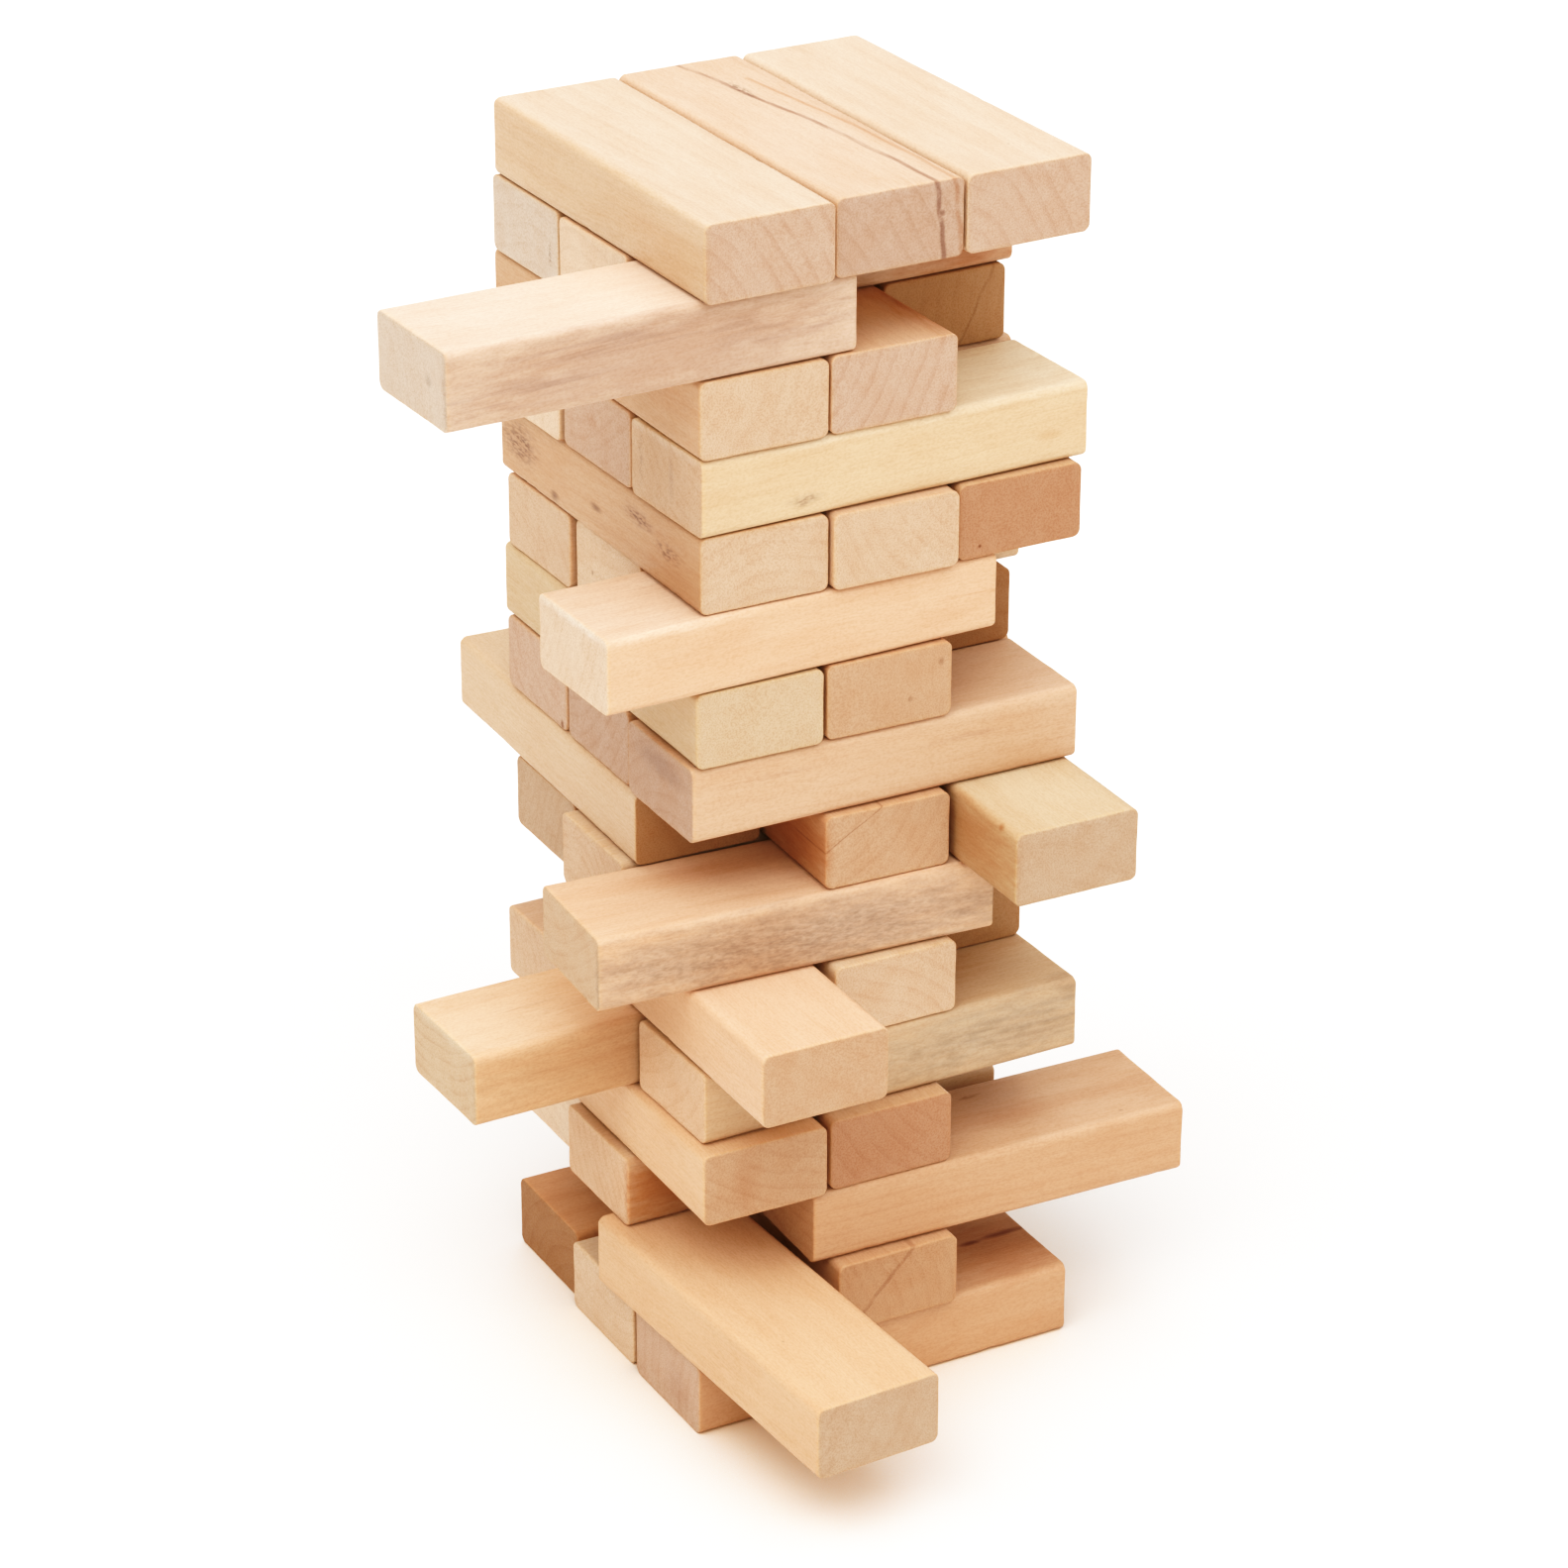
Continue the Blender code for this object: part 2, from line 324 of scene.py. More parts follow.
LOOKS = {
    "level_01_front": Look(
        "tan",
        "pink_end",
        patches_and_veins=(
            # Painted shade: darkens the top where the level above shades it.
            Patch("rust_and_shade", 0.5, (75, 0, 17), (45, 40, 5)),
            Patch("umber", 0.9, (84, 8, 17), (16, 3, 3)),
            Patch("umber", 0.9, (66, 7, 17), (7, 2.5, 3)),
            Patch("dusk", 0.4, (-95, -10, -4), (5, 16, 14)),
        ),
    ),
    "level_01_middle": Look("straw", "cream_end"),
    "level_01_back": Look("russet", "brown_end", rings=0.8),
    "level_02_left": Look(
        "apricot",
        "olive_end",
        pith=(70, 40),
        rings=0.3,
        patches_and_veins=(Patch("smoke", 0.5, (-39, 14, 17), (1.2, 0.8, 1)),),
    ),
    "level_02_middle": Look(
        "tan", "russet_end", patches_and_veins=(Vein("umber", 0.35, 9, tilt=-1.0, thickness=2.2, end=-60),)
    ),
    "level_03_front": Look(
        "tan",
        "russet_end",
        pith=(-10, 90),
        rings=0.8,
        patches_and_veins=(
            # Painted light: lightens the top.
            Patch("painted_light", 0.4, (40, 0, 17), (120, 90, 5)),
            Patch("smoke", 0.6, (66, -23, 17), (2, 1, 1)),
            Patch("umber", 0.5, (10, 19, 17), (9, 2.5, 3), "flecks"),
            Patch("rust_and_shade", 0.15, (20, -5, 17), (60, 7, 6)),
        ),
    ),
    "level_03_middle": Look(
        "straw",
        "peach_end",
        pith=(-60, 30),
        rings=0.7,
        # Painted shade: darkens the long side at -y, which lies in shade.
        patches_and_veins=(Patch("rust_and_shade", 1.0, (-75, -31, 0), (50, 6, 30)),),
    ),
    "level_03_back": Look("straw", "pale_end"),
    "level_04_left": Look(
        "apricot",
        "tan_end",
        patches_and_veins=(Patch("rust_and_shade", 0.25, (-95, 10, 0), (4, 9, 24)),),
    ),
    "level_04_middle": Look("rose", "red_end", pith=(-50, 50), rings=0.6),
    "level_05_front": Look(
        "olive",
        "peach_end",
        patches_and_veins=(
            Patch("slate", 0.8, (40, -31, 0), (120, 6, 30)),
            Patch("ash_and_shade", 0.5, (50, -31, -2), (90, 5, 20), "mottle"),
            Patch("grey", 0.4, (70, -31, 2), (60, 5, 17), "streaks"),
            Patch("smoke", 0.35, (92, -26, 14), (16, 9, 7)),
            Patch("rust_and_shade", 0.35, (30, 8, 17), (60, 20, 5)),
        ),
    ),
    "level_05_middle": Look(
        "apricot",
        "sand_end",
        pith=(20, 80),
        rings=0.8,
        patches_and_veins=(
            Patch("dusk", 0.6, (-62, 2, 17), (30, 3, 6), "streaks"),
            # Painted shade: the two patches below darken the long side at -y, which lies in shade.
            Patch("honey_and_shade", 0.15, (-25, -31, 0), (110, 8, 30)),
            Patch("ash_and_shade", 0.6, (-25, -31, 0), (110, 8, 30)),
            # Painted light: lightens the top at its -x end.
            Patch("painted_light", 0.7, (-80, 0, 17), (60, 60, 5)),
        ),
    ),
    "level_05_back": Look("pink", "beige_end"),
    "level_06_left": Look("peach", "tan_end", rings=0.2),
    "level_06_middle": Look("straw", "beige_end"),
    # Partly painted shade: dark brown, as the block sits back in the shade.
    "level_06_right": Look("brown", "umber_end"),
    "level_07_front": Look(
        "peach",
        "fawn_end",
        pith=(30, 60),
        rings=0.6,
        patches_and_veins=(
            Patch("slate", 1.0, (0, -31, -2), (170, 6, 30)),
            Patch("dusk", 0.5, (0, -31, -2), (170, 6, 30)),
            Patch("ash_and_shade", 0.40, (0, -31, 0), (150, 5, 30), "mottle"),
            Patch("ash_and_shade", 0.60, (0, -31, -3), (150, 5, 20), "flecks"),
            Patch("rust_and_shade", 0.30, (-30, 12, 17), (70, 12, 5)),
        ),
    ),
    "level_07_middle": Look("straw", "beige_end", pith=(20, -30), rings=0.6),
    "level_07_back": Look("tan", "olive_end"),
    "level_08_left": Look("straw", "umber_end", rings=0.3),
    "level_08_middle": Look(
        "tan",
        "tan_end",
        pith=(45, 45),
        rings=0.6,
        patches_and_veins=(
            Vein("umber", 0.45, 31, tilt=-1.6, thickness=1.0, end=-70),
            # Painted shade: darkens the long side at +y, which lies in shade.
            Patch("rust_and_shade", 0.8, (-60, 31, 0), (70, 6, 30)),
        ),
    ),
    "level_08_right": Look(
        "sand",
        "olive_end",
        rings=0.3,
        patches_and_veins=(
            # Painted light: lightens the top at its -x end.
            Patch("painted_light", 0.5, (-60, 0, 17), (60, 40, 4)),
            # Painted shade: darkens the long side at +y, which lies in shade.
            Patch("rust_and_shade", 0.65, (-50, 31, 0), (70, 6, 30)),
            Patch("rust_and_shade", 0.9, (-81, 29, 15), (3, 3, 3)),
        ),
    ),
    "level_09_front": Look(
        "pink",
        "mauve_end",
        patches_and_veins=(
            Patch("dusk", 0.4, (-56, -31, 6), (30, 4, 4), "streaks"),
            Patch("dusk", 0.5, (38, -31, 5), (24, 4, 3), "streaks"),
            Patch("grey", 0.5, (-95, 0, 8), (5, 30, 8)),
        ),
    ),
    "level_09_middle": Look("tan", "mauve_end", pith=(40, 40), rings=0.7),
    "level_09_back": Look(
        "pink", "pink_end", patches_and_veins=(Patch("umber", 0.8, (-95, -26, -15), (3, 2, 3)),)
    ),
    "level_10_left": Look("sand", "sand_end", rings=0.15),
    "level_10_middle": Look(
        "tan",
        "tan_end",
        rings=0.2,
        patches_and_veins=(
            Patch("umber", 0.4, (-95, -25, 9), (3, 2.0, 2.5)),
            Patch("umber", 0.35, (-95, -10, -6), (3, 2, 2)),
        ),
    ),
    # Partly painted shade: dark brown, as the block sits back in the shade.
    "level_10_right": Look("brown", "brown_end"),
    "level_11_front": Look(
        "peach",
        "pale_end",
        patches_and_veins=(
            Patch("umber", 0.45, (-38, -16, 17), (10, 3, 4), "streaks"),
            Patch("rust_and_shade", 0.5, (80, -31, 2), (26, 4, 3), "streaks"),
            # Painted light: lightens the top, where the level above keeps light off it.
            Patch("painted_light", 1.0, (-75, 0, 17), (70, 90, 5)),
        ),
    ),
    "level_11_middle": Look(
        "straw", "cream_end", patches_and_veins=(Patch("smoke", 0.6, (-95, 15, -3), (3, 1.2, 1.6)),)
    ),
    "level_11_back": Look("pink", "beige_end"),
    "level_12_left": Look(
        "rose",
        "beige_end",
        pith=(-5, -70),
        rings=0.5,
        patches_and_veins=(
            Patch("smoke", 0.85, (76, 30, 1), (22, 5, 12), "flecks"),
            Patch("grey", 0.35, (76, 30, 1), (24, 5, 13)),
            Patch("smoke", 0.9, (42, 30, -12), (6, 3, 3)),
            Patch("smoke", 0.8, (2, 30, -3), (7, 3, 2.5)),
            Patch("smoke", 0.9, (-38, 30, 7), (16, 4, 5), "flecks"),
            Patch("grey", 0.4, (-38, 30, 7), (18, 4, 6)),
            Patch("smoke", 0.8, (-66, 30, 1), (16, 4, 5), "flecks"),
            Patch("rust_and_shade", 0.1, (-80, 30, 0), (40, 4, 20)),
        ),
    ),
    "level_12_middle": Look("pink", "beige_end", pith=(-60, 40), rings=0.4),
    "level_12_right": Look(
        "rose", "red_end", rings=0.2, patches_and_veins=(Patch("umber", 0.9, (-95, 20, -12), (3, 1.2, 1.2)),)
    ),
    "level_13_front": Look(
        "lemon",
        "beige_end",
        patches_and_veins=(
            # Painted light: lightens the whole top, where the level above keeps light off it.
            Patch("painted_light", 1.0, (0, 0, 17), (200, 90, 5)),
            Patch("smoke", 0.65, (-46, -31, -9), (9, 3, 3.5), "flecks"),
            Patch("grey", 0.4, (-46, -31, -9), (12, 3, 4)),
            Patch("rust_and_shade", 0.35, (75, -31, -4), (9, 3, 3)),
            Patch("grey", 0.6, (-95, 22, 2), (5, 3, 16), "flecks"),
            Patch("grey", 0.3, (-95, -4, 2), (5, 3, 16)),
        ),
    ),
    "level_13_middle": Look(
        "pink", "pink_end", patches_and_veins=(Patch("rust_and_shade", 0.3, (-95, 4, 2), (4, 6, 5)),)
    ),
    "level_13_back": Look("cream", "pale_end"),
    "level_14_left": Look("rose", "beige_end", pith=(60, 30), rings=0.3),
    "level_14_middle": Look(
        "peach",
        "pink_end",
        pith=(62, 28),
        rings=0.8,
        patches_and_veins=(
            # Painted shade: the three patches below darken the top, most along its edge at -y, where
            # the level above shades it.
            Patch("rust_and_shade", 0.5, (-50, -24, 17), (60, 8, 5)),
            Patch("rust_and_shade", 0.7, (-50, -28, 17), (50, 4, 4)),
            Patch("honey_and_shade", 0.5, (-30, 0, 17), (50, 50, 5)),
        ),
    ),
    # Partly painted shade: dark brown, as the block sits back in the shade.
    "level_14_right": Look(
        "brown", "umber_end", patches_and_veins=(Vein("umber", 0.3, -16, tilt=-0.5, thickness=1.2, end=-60),)
    ),
    "level_15_front": Look(
        "ivory",
        "grey_end",
        rings=0.3,
        patches_and_veins=(
            Patch("dusk", 0.9, (0, -31, 0), (170, 6, 40)),
            Patch("ash_and_shade", 0.28, (0, -31, 0), (170, 6, 40)),
            Patch("grey", 0.55, (-62, -31, -6), (70, 5, 8), "streaks"),
            Patch("grey", 0.50, (-25, -31, 8), (60, 5, 7), "streaks"),
            Patch("grey", 0.50, (60, -31, 2), (50, 5, 10), "streaks"),
            Patch("smoke", 0.35, (-95, -15, 1), (5, 4, 4)),
        ),
    ),
    "level_15_middle": Look(
        # Painted shade: darkens the long side at -y, which lies in shade.
        "pink", "pale_end", patches_and_veins=(Patch("rust_and_shade", 1.0, (70, -31, 0), (50, 6, 30)),)
    ),
    "level_15_back": Look(
        "straw", "grey_end", patches_and_veins=(Patch("smoke", 0.8, (-95, -23, -4), (4, 2, 7), "flecks"),)
    ),
    "level_16_left": Look(
        "cream",
        "pink_end",
        pith=(66, -42),
        rings=0.7,
        patches_and_veins=(
            Patch("honey_and_shade", 0.3, (0, 31, 0), (200, 6, 40)),
            Patch("ash_and_shade", 0.12, (0, 31, 0), (200, 6, 40)),
        ),
    ),
    "level_16_middle": Look(
        "pink",
        "mauve_end",
        pith=(70, -50),
        rings=0.6,
        patches_and_veins=(
            # Painted light: lightens the whole top.
            Patch("painted_light", 0.35, (0, 0, 17), (200, 90, 5)),
            Vein("plum", 0.75, -13, lean=0.10, bow=3.0, tilt=0.12, thickness=1.8),
            Vein("rust_and_shade", 0.5, -24, lean=0.08, bow=4.0, tilt=0.1, thickness=1.6, end=60),
            Patch("smoke", 0.8, (52, -5, 17), (14, 3.0, 4), "streaks"),
            Patch("smoke", 0.8, (50, -6, 17), (18, 3.5, 4), "flecks"),
            Patch("plum", 0.7, (-95, -20, 3), (4, 1.6, 2)),
            Patch("rust_and_shade", 0.12, (0, -26, 17), (90, 9, 8)),
        ),
    ),
    "level_16_right": Look(
        "cream",
        "pink_end",
        pith=(64, -46),
        rings=0.6,
        patches_and_veins=(Patch("smoke", 0.6, (-68, -6, 17), (1.2, 0.8, 1)),),
    ),
}


class Ring(NamedTuple):
    """Points round a block: how far along it and where across and above its middle they are,
    and how much they belong to a sawn end and to its rim."""

    x: np.ndarray
    points: np.ndarray
    sawn: float
    rim: float


def block_frame(node):
    """Where a CAD block lies: its axes and its middle."""
    corners = np.array([vertex.co for vertex in node.data.vertices])
    low, high = corners.min(0), corners.max(0)
    middle = corners.mean(0)
    flat = (corners - middle)[:, :2]
    spread, directions = np.linalg.eigh(flat.T @ flat)
    along = Vector((*directions[:, int(np.argmax(spread))], 0.0)).normalized()
    if max(along.x, along.y, key=abs) < 0:
        along.negate()
    up = Vector((0.0, 0.0, 1.0))
    frame = Matrix((along, up.cross(along), up)).transposed().to_4x4()
    frame.translation = (middle[0], middle[1], (low[2] + high[2]) / 2)
    return frame


def waves(rng, length, count=4):
    """A gentle random wave with values from -1 to 1, for positions in mm."""
    speeds = rng.uniform(*WAVE_SPEEDS, count) * 2 * math.pi / length
    phases = rng.uniform(0, 2 * math.pi, count)

    def wave(position):
        return np.mean([np.sin(position * s + p) for s, p in zip(speeds, phases)], axis=0)

    return wave


def outline(radii):
    """The rounded rectangle of a block's cross-section, as points and outward directions.

    The four radii are those of the corners at +y+z, -y+z, -y-z and +y-z.
    """
    signs = ((1, 1), (-1, 1), (-1, -1), (1, -1))
    points, outward = [], []
    for corner, (side, up) in enumerate(signs):
        radius = radii[corner]
        for step in range(CORNER_STEPS + 1):
            angle = (corner + step / CORNER_STEPS) * math.pi / 2
            direction = np.array((math.cos(angle), math.sin(angle)))
            centre = np.array((side * (WIDTH / 2 - radius), up * (THICKNESS / 2 - radius)))
            points.append(centre + radius * direction)
            outward.append(direction)
        next_side, next_up = signs[(corner + 1) % 4]
        next_radius = radii[(corner + 1) % 4]
        flat_end = next_radius * outward[-1]
        flat_end[0] += next_side * (WIDTH / 2 - next_radius)
        flat_end[1] += next_up * (THICKNESS / 2 - next_radius)
        steps = WIDTH_STEPS if up == next_up else THICKNESS_STEPS
        flat_start = points[-1]
        for step in range(1, steps):
            points.append(flat_start + (flat_end - flat_start) * step / steps)
            outward.append(outward[-1])
    return np.array(points), np.array(outward)


def long_rings(rng):
    """The rings of points along a block's planed faces, which are worn and slightly uneven."""
    radius_waves = [waves(rng, EDGE_WAVE) for _ in range(4)]
    face_wave = waves(rng, FACE_WAVE)
    across_wave = waves(rng, ACROSS_WAVE)
    last = LENGTH / 2 - RIM_REACH
    rings = []
    for x in np.linspace(-last, last, int(LENGTH / STATION_SPACING) + 1):
        radii = [EDGE_RADIUS * (1 + EDGE_WEAR * wave(x)) for wave in radius_waves]
        points, outward = outline(radii)
        hollow = UNEVENNESS * (1 + face_wave(x) * across_wave(points[:, 0] + points[:, 1]))
        rings.append(Ring(np.full(len(points), x), points - outward * hollow[:, None], 0.0, 0.0))
    return rings


def end_rings(rng, edge_points):
    """The rings that turn over the rim of the sawn end at +x and close in on its middle."""
    core_half = (WIDTH - THICKNESS) / 2
    core = np.zeros_like(edge_points)
    core[:, 0] = np.clip(edge_points[:, 0], -core_half, core_half)
    inwards = core - edge_points
    inwards /= np.linalg.norm(inwards, axis=1)[:, None]
    ragged = RIM_RADIUS * (1 + RIM_RAGGEDNESS * rng.uniform(-1, 1, len(edge_points)))
    ragged = (ragged + np.roll(ragged, 1)) / 2
    half = LENGTH / 2
    rings = []
    for turn, sawn in RIM_TURNS:
        angle = turn * math.pi / 2
        inset = ragged * (1 - math.cos(angle))
        back = ragged * (1 - math.sin(angle))
        rings.append(Ring(half - back, edge_points + inwards * inset[:, None], sawn, 1.0))
    flat = np.full(len(edge_points), half)
    face = rings[-1].points
    rings.append(Ring(flat, face + inwards * FACE_INSET, 1.0, 0.5))
    for share in FACE_RINGS:
        rings.append(Ring(flat, core + (face - core) * share, 1.0, 0.0))
    return askew_rings(rng, rings)


def askew_rings(rng, rings):
    """Tilts a sawn end a little, without making the block longer."""
    tilt_y, tilt_z = rng.uniform(-SAW_TILT, SAW_TILT, 2)
    lost = abs(tilt_y) * WIDTH / 2 + abs(tilt_z) * THICKNESS / 2
    tilted = []
    for ring in rings:
        moved = ring.points[:, 0] * tilt_y + ring.points[:, 1] * tilt_z - lost
        tilted.append(ring._replace(x=ring.x + moved))
    return tilted


def dents(rng, local):
    """Knocks a few shallow dents into the long edges and the corners."""
    for _ in range(int(rng.integers(*DENTS, endpoint=True))):
        side, up = rng.choice((-1, 1), 2)
        x = rng.uniform(-LENGTH / 2, LENGTH / 2)
        place = np.array((x, side * WIDTH / 2, up * THICKNESS / 2))
        reach = rng.uniform(*DENT_REACH)
        depth = rng.uniform(*DENT_DEPTH)
        away = np.linalg.norm(local - place, axis=1) / reach
        inwards = np.array((0.0, -side, -up)) / math.sqrt(2)
        local += np.exp(-(away**2))[:, None] * inwards * depth


def skin(rings, count):
    """The faces between rings of so many points, and one face over each end."""
    faces = []
    for near in range(0, (rings - 1) * count, count):
        far = near + count
        for point in range(count):
            after = (point + 1) % count
            faces.append((near + point, near + after, far + after, far + point))
    faces.append(tuple(reversed(range(count))))
    faces.append(tuple(range((rings - 1) * count, rings * count)))
    return faces


def block_mesh(name, seed):
    """One block with worn edges, sawn ends and slightly uneven faces, in its own axes.

    Its points keep their places in the block in mm, and how much they lie on a sawn end or rim.
    """
    rng = np.random.default_rng(seed)
    rings = long_rings(rng)
    near = end_rings(rng, rings[0].points)
    far = end_rings(rng, rings[-1].points)
    rings = [ring._replace(x=-ring.x) for ring in reversed(near)] + rings + far
    count = len(rings[0].points)
    local = np.concatenate([np.column_stack((ring.x, ring.points)) for ring in rings])
    dents(rng, local)
    mesh = bpy.data.meshes.new(name)
    mesh.from_pydata((local * MM).tolist(), [], skin(len(rings), count))
    mesh.shade_smooth()
    board = mesh.attributes.new("board", "FLOAT_VECTOR", "POINT")
    board.data.foreach_set("vector", local.astype(np.float32).ravel())
    for attribute in ("sawn", "rim"):
        values = np.repeat([getattr(ring, attribute) for ring in rings], count)
        layer = mesh.attributes.new(attribute, "FLOAT", "POINT")
        layer.data.foreach_set("value", values.astype(np.float32))
    return mesh


class Graph:
    """Adds shader nodes to a material and joins them up."""

    def __init__(self, material):
        self.tree = material.node_tree

    def node(self, kind, inputs, **settings):
        node = self.tree.nodes.new("ShaderNode" + kind)
        for name, value in settings.items():
            setattr(node, name, value)
        for socket, value in inputs.items():
            if isinstance(value, bpy.types.NodeSocket):
                self.tree.links.new(value, node.inputs[socket])
            else:
                node.inputs[socket].default_value = value
        return node

    def attribute(self, name, output="Fac"):
        return self.node("Attribute", {}, attribute_name=name).outputs[output]

    def vector(self, operation, first, second):
        return self.node("VectorMath", {0: first, 1: second}, operation=operation).outputs[0]

    def math(self, operation, first, second=0.0):
        return self.node("Math", {0: first, 1: second}, operation=operation).outputs[0]

    def noise(self, place, stretch, detail=2.0, output="Fac"):
        """Noise over a place in mm; stretch says how many mm one swell takes each way."""
        scaled = self.vector("MULTIPLY", place, tuple(1 / mm for mm in stretch))
        inputs = {"Vector": scaled, "Scale": 1.0, "Detail": detail}
        return self.node("TexNoise", inputs).outputs[output]

    def span(self, value, start, end, low=0.0, high=1.0):
        """Goes smoothly from low to high as the value goes from start to end."""
        inputs = {"Value": value, "From Min": start, "From Max": end, "To Min": low, "To Max": high}
        return self.node("MapRange", inputs, interpolation_type="SMOOTHSTEP").outputs[0]

    def mix(self, share, first, second, blend="MIX"):
        """A mix of two colours."""
        inputs = {0: share, 6: first, 7: second}
        return self.node("Mix", inputs, data_type="RGBA", blend_type=blend).outputs[2]

    def stain(self, share, colour, left):
        """Leaves only a part of a colour, where the share is high."""
        return self.mix(share, colour, solid(left), "MULTIPLY")


def solid(colour):
    return (*colour, 1.0)


def place_in_log(graph, board, look, rng):
    """The place in the tree that the block was cut from: x along it, and y and z from its pith."""
    if look.pith:
        pith = look.pith
    else:
        angle, depth = rng.uniform(0, 2 * math.pi), rng.uniform(*PITH_DEPTH)
        pith = (depth * math.cos(angle), depth * math.sin(angle))
    shift = (rng.uniform(0, LOG_LENGTH), -pith[0], -pith[1])
    askew = (0.0, *np.radians(rng.uniform(-CUT_ASKEW, CUT_ASKEW, 2)))
    log = graph.node("Mapping", {"Vector": board, "Location": shift, "Rotation": askew}).outputs[0]
    swell = graph.noise(log, SWELL_SIZE, detail=1.0, output="Color")
    swell = graph.vector("SUBTRACT", swell, (0.5, 0.5, 0.5))
    swell = graph.vector("MULTIPLY", swell, (0.0, SWELL, SWELL))
    return graph.vector("ADD", log, swell)


def ring_lines(graph, log, rng):
    """The yearly rings: it is high on the thin dark line that ends each of them.

    The texture turns by 20 radians for each mm away from the pith, before it is scaled.
    """
    spacing = rng.uniform(*RING_SPACING)
    inputs = {
        "Vector": log,
        "Scale": 2 * math.pi / 20 / spacing,
        "Distortion": RING_WAVER,
        "Detail": 2.0,
        "Detail Scale": 0.5,
    }
    settings = {"wave_type": "RINGS", "rings_direction": "X", "wave_profile": "SAW"}
    return graph.node("TexWave", inputs, **settings).outputs["Fac"]


def vein_share(graph, board, log, vein):
    """How strongly a vein shows at each place."""
    split = graph.node("SeparateXYZ", {0: board}).outputs
    x, y, z = split[0], split[1], split[2]
    path = graph.math("ADD", graph.math("MULTIPLY", x, vein.lean), vein.across)
    squared = graph.math("MULTIPLY", graph.math("MULTIPLY", x, x), vein.bow / (LENGTH / 2) ** 2)
    path = graph.math("ADD", path, squared)
    path = graph.math("ADD", path, graph.math("MULTIPLY", z, vein.tilt))
    wander = graph.noise(board, *VEIN_SWELLS)
    path = graph.math("ADD", path, graph.math("MULTIPLY", wander, VEIN_WANDER))
    away = graph.math("ABSOLUTE", graph.math("SUBTRACT", graph.math("ADD", y, VEIN_WANDER / 2), path))
    core = VEIN_CORE * vein.thickness
    line = graph.span(away, core, vein.thickness, vein.strength, 0.0)
    unbroken = graph.span(graph.noise(log, VEIN_BREAKS), *VEIN_BREAKING)
    line = graph.math("MULTIPLY", line, unbroken)
    line = graph.math("MULTIPLY", line, graph.span(x, vein.start - VEIN_FADE, vein.start))
    return graph.math("MULTIPLY", line, graph.span(x, vein.end, vein.end + VEIN_FADE, 1.0, 0.0))


def patch_share(graph, board, log, patch):
    """How strongly a patch shows at each place."""
    away = graph.vector("SUBTRACT", board, patch.place)
    away = graph.vector("MULTIPLY", away, tuple(1 / reach for reach in patch.reach))
    away = graph.node("VectorMath", {0: away}, operation="LENGTH").outputs["Value"]
    ragged = graph.noise(log, *PATCH_SWELLS)
    away = graph.math("ADD", away, graph.math("MULTIPLY", ragged, PATCH_RAGGEDNESS))
    share = graph.span(away, *PATCH_EDGE, patch.strength, 0.0)
    if patch.broken:
        pieces = graph.noise(log, BROKEN[patch.broken])
        share = graph.math("MULTIPLY", share, graph.span(pieces, *PATCH_PIECES))
    return share


def side_shade_share(graph, board, sawn):
    """How much each place lies on a block's long sides, which painted shade darkens."""
    across = graph.node("SeparateXYZ", {0: board}).outputs[1]
    share = graph.span(graph.math("ABSOLUTE", across), WIDTH / 2 - EDGE_RADIUS, WIDTH / 2)
    return graph.math("MULTIPLY", share, graph.math("SUBTRACT", 1.0, sawn))


def wood_colour(graph, board, log, look, rings):
    """The colour of the wood, with its figure, marks, painted light and painted shade, and the noise
    of fibres and pores.
    """
    sawn = graph.attribute("sawn")
    rim = graph.attribute("rim")
    colour = graph.mix(sawn, solid(TONES[look.face]), solid(TONES[look.end]))
    layers = (BANDS, CLOUDS, GRAIN, FIBRES, PORES)
    swells = {layer: graph.noise(log, *layer.swells) for layer in layers}
    fading = graph.span(swells[CLOUDS], *RING_FADING)
    line = graph.math("MULTIPLY", graph.span(rings, *RING_LINE), fading)
    on_end = graph.span(sawn, 0.0, 1.0, *RING_STRENGTHS)
    line = graph.math("MULTIPLY", line, graph.math("MULTIPLY", on_end, look.rings))
    colour = graph.stain(line, colour, RING_STAIN)
    for layer in layers:
        dark = graph.span(swells[layer], *layer.dark)
        if layer is PORES:
            dark = graph.math("MULTIPLY", dark, graph.span(sawn, 0.0, 1.0, *PORE_STRENGTHS))
        colour = graph.stain(dark, colour, layer.left)
    # Painted shade: the long sides are made darker and warmer than the tops and ends.
    colour = graph.stain(side_shade_share(graph, board, sawn), colour, PAINTED_SIDE_SHADE)
    # Some of these patches are painted light on tops and painted shade on sides and tops.
    for patch_or_vein in look.patches_and_veins:
        shape = vein_share if isinstance(patch_or_vein, Vein) else patch_share
        colour = graph.stain(shape(graph, board, log, patch_or_vein), colour, TINTS[patch_or_vein.stain])
    # The rims are lightened, partly as rubbed wear and partly as a painted highlight.
    rubbed_and_highlit = graph.math("MULTIPLY", rim, graph.span(swells[FIBRES], *RIM_RUB_AND_HIGHLIGHT))
    return graph.stain(rubbed_and_highlit, colour, RIM_RUB_AND_HIGHLIGHT_TINT), swells[FIBRES], swells[PORES]


